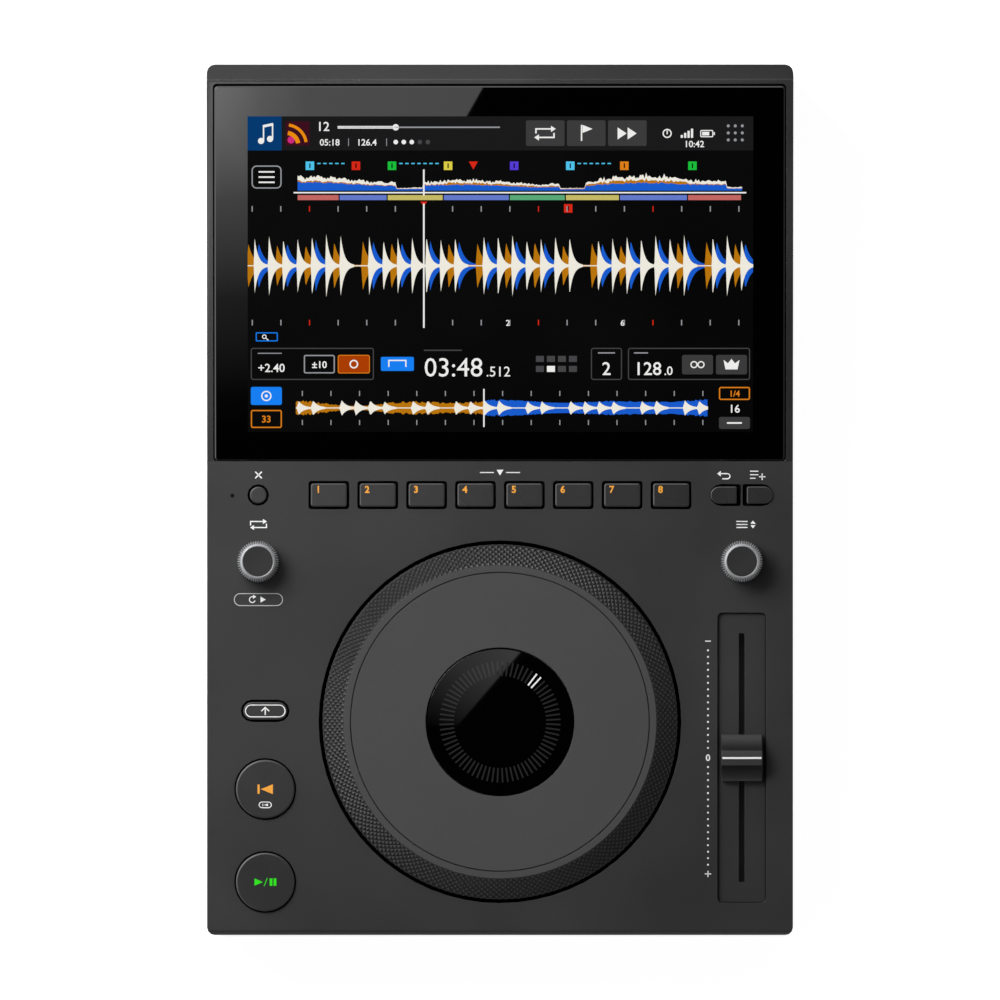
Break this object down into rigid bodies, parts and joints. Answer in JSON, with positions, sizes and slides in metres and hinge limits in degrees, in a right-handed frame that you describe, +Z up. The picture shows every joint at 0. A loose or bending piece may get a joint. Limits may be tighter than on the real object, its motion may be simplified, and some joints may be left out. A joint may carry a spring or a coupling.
{
  "type": "tabletop dj media player",
  "caption": "Tabletop DJ media player with sloped touch screen, performance pads, jog wheel with round display, push-turn knobs, transport keys and tempo fader.",
  "frame": {"origin": "on the table, under the middle of the case, level with the undersides of the feet", "axes": "+Z up; +Y from the user to the rear, up the sloped screen; +X to the user's right, where the tempo fader is"},
  "size_m": [0.2518, 0.374, 0.0993],
  "materials": {
    "case_plastic": "fine matt texture",
    "dark_steel": "black powder coat",
    "steel_sheet": "zinc plated",
    "rubber": "matt",
    "black_glass": "polished",
    "panel_black": "display surface",
    "jog_plastic": "smooth satin",
    "knurl_plastic": "diamond knurl",
    "key_plastic": "satin",
    "knob_metal": "turned and knurled, dark anodised",
    "black_plastic": "moulded",
    "white_plastic": "moulded",
    "brass": "plated",
    "circuit_board": "lacquered board with parts"
  },
  "bodies": {
    "case": {"top_case": "case_plastic", "bottom_case": "dark_steel", "rear_panel": "dark_steel", "foot_front_left": "rubber", "foot_front_right": "rubber", "foot_rear_left": "rubber", "foot_rear_right": "rubber", "case_screw_1": "steel_sheet", "case_screw_2": "steel_sheet", "case_screw_3": "steel_sheet", "case_screw_4": "steel_sheet", "screen_glass": "black_glass", "lcd_panel": "panel_black", "screen_bracket": "steel_sheet", "jog_tray": "steel_sheet", "jog_post": "steel_sheet", "jog_bush": "white_plastic", "jog_lens": "black_glass", "jog_display": "panel_black", "jog_sensor": "black_plastic", "panel_board": "circuit_board", "loop_encoder_body": "steel_sheet", "browse_encoder_body": "steel_sheet", "tempo_fader_body": "dark_steel", "ac_inlet": "black_plastic", "power_switch_body": "black_plastic", "lan_jack": "steel_sheet", "usb_jack": "steel_sheet", "audio_jacks": "brass", "main_board": "circuit_board", "power_supply": "circuit_board"},
    "jog_wheel": {"jog_ring": "knurl_plastic", "jog_plate": "jog_plastic", "jog_hub": "black_plastic", "jog_encoder_wheel": "black_plastic"},
    "tempo_fader": {"tempo_knob": "key_plastic", "tempo_slider": "steel_sheet"},
    "loop_plunger": {"loop_encoder_plunger": "white_plastic"},
    "loop_dial": {"loop_encoder_shaft": "steel_sheet", "loop_knob": "knob_metal", "loop_knob_cap": "key_plastic"},
    "browse_plunger": {"browse_encoder_plunger": "white_plastic"},
    "browse_dial": {"browse_encoder_shaft": "steel_sheet", "browse_knob": "knob_metal", "browse_knob_cap": "key_plastic"},
    "delete_key": {"delete_button": "key_plastic"},
    "back_key": {"back_button": "key_plastic"},
    "tag_key": {"tag_button": "key_plastic"},
    "shift_key": {"shift_button": "key_plastic"},
    "pad_1": {"hot_cue_button_1": "key_plastic"},
    "pad_2": {"hot_cue_button_2": "key_plastic"},
    "pad_3": {"hot_cue_button_3": "key_plastic"},
    "pad_4": {"hot_cue_button_4": "key_plastic"},
    "pad_5": {"hot_cue_button_5": "key_plastic"},
    "pad_6": {"hot_cue_button_6": "key_plastic"},
    "pad_7": {"hot_cue_button_7": "key_plastic"},
    "pad_8": {"hot_cue_button_8": "key_plastic"},
    "cue_key": {"cue_button": "key_plastic"},
    "play_key": {"play_button": "key_plastic"},
    "power_key": {"power_rocker": "key_plastic"}
  },
  "joints": [
    {"name": "jog_spin", "type": "hinge", "parent": "case", "child": "jog_wheel", "pos_m": [0, -0.0953, 0.087], "axis": [0, 0, 1], "continuous": true},
    {"name": "tempo_slide", "type": "slide", "parent": "case", "child": "tempo_fader", "axis": [0, -1, 0], "range_m": [-0.05, 0.05]},
    {"name": "loop_push", "type": "slide", "parent": "case", "child": "loop_plunger", "axis": [0, 0, -1], "range_m": [0, 0.0006], "stiffness_N_per_m": 600, "springref_m": -0.002},
    {"name": "loop_turn", "type": "hinge", "parent": "loop_plunger", "child": "loop_dial", "pos_m": [-0.10385, -0.0264, 0.084], "axis": [0, 0, 1], "continuous": true},
    {"name": "browse_push", "type": "slide", "parent": "case", "child": "browse_plunger", "axis": [0, 0, -1], "range_m": [0, 0.0006], "stiffness_N_per_m": 600, "springref_m": -0.002},
    {"name": "browse_turn", "type": "hinge", "parent": "browse_plunger", "child": "browse_dial", "pos_m": [0.10385, -0.0264, 0.084], "axis": [0, 0, 1], "continuous": true},
    {"name": "delete_press", "type": "slide", "parent": "case", "child": "delete_key", "axis": [0, 0, -1], "range_m": [0, 0.0005], "stiffness_N_per_m": 400, "springref_m": -0.002},
    {"name": "back_press", "type": "slide", "parent": "case", "child": "back_key", "axis": [0, 0, -1], "range_m": [0, 0.0005], "stiffness_N_per_m": 400, "springref_m": -0.002},
    {"name": "tag_press", "type": "slide", "parent": "case", "child": "tag_key", "axis": [0, 0, -1], "range_m": [0, 0.0005], "stiffness_N_per_m": 400, "springref_m": -0.002},
    {"name": "shift_press", "type": "slide", "parent": "case", "child": "shift_key", "axis": [0, 0, -1], "range_m": [0, 0.0005], "stiffness_N_per_m": 400, "springref_m": -0.002},
    {"name": "pad_1_press", "type": "slide", "parent": "case", "child": "pad_1", "axis": [0, 0, -1], "range_m": [0, 0.0008], "stiffness_N_per_m": 400, "springref_m": -0.002},
    {"name": "pad_2_press", "type": "slide", "parent": "case", "child": "pad_2", "axis": [0, 0, -1], "range_m": [0, 0.0008], "stiffness_N_per_m": 400, "springref_m": -0.002},
    {"name": "pad_3_press", "type": "slide", "parent": "case", "child": "pad_3", "axis": [0, 0, -1], "range_m": [0, 0.0008], "stiffness_N_per_m": 400, "springref_m": -0.002},
    {"name": "pad_4_press", "type": "slide", "parent": "case", "child": "pad_4", "axis": [0, 0, -1], "range_m": [0, 0.0008], "stiffness_N_per_m": 400, "springref_m": -0.002},
    {"name": "pad_5_press", "type": "slide", "parent": "case", "child": "pad_5", "axis": [0, 0, -1], "range_m": [0, 0.0008], "stiffness_N_per_m": 400, "springref_m": -0.002},
    {"name": "pad_6_press", "type": "slide", "parent": "case", "child": "pad_6", "axis": [0, 0, -1], "range_m": [0, 0.0008], "stiffness_N_per_m": 400, "springref_m": -0.002},
    {"name": "pad_7_press", "type": "slide", "parent": "case", "child": "pad_7", "axis": [0, 0, -1], "range_m": [0, 0.0008], "stiffness_N_per_m": 400, "springref_m": -0.002},
    {"name": "pad_8_press", "type": "slide", "parent": "case", "child": "pad_8", "axis": [0, 0, -1], "range_m": [0, 0.0008], "stiffness_N_per_m": 400, "springref_m": -0.002},
    {"name": "cue_press", "type": "slide", "parent": "case", "child": "cue_key", "axis": [0, 0, -1], "range_m": [0, 0.001], "stiffness_N_per_m": 500, "springref_m": -0.002},
    {"name": "play_press", "type": "slide", "parent": "case", "child": "play_key", "axis": [0, 0, -1], "range_m": [0, 0.001], "stiffness_N_per_m": 500, "springref_m": -0.002},
    {"name": "power_rock", "type": "hinge", "parent": "case", "child": "power_key", "pos_m": [0.05, 0.1735, 0.036], "axis": [-1, 0, 0], "range_deg": [0, 16]}
  ]
}
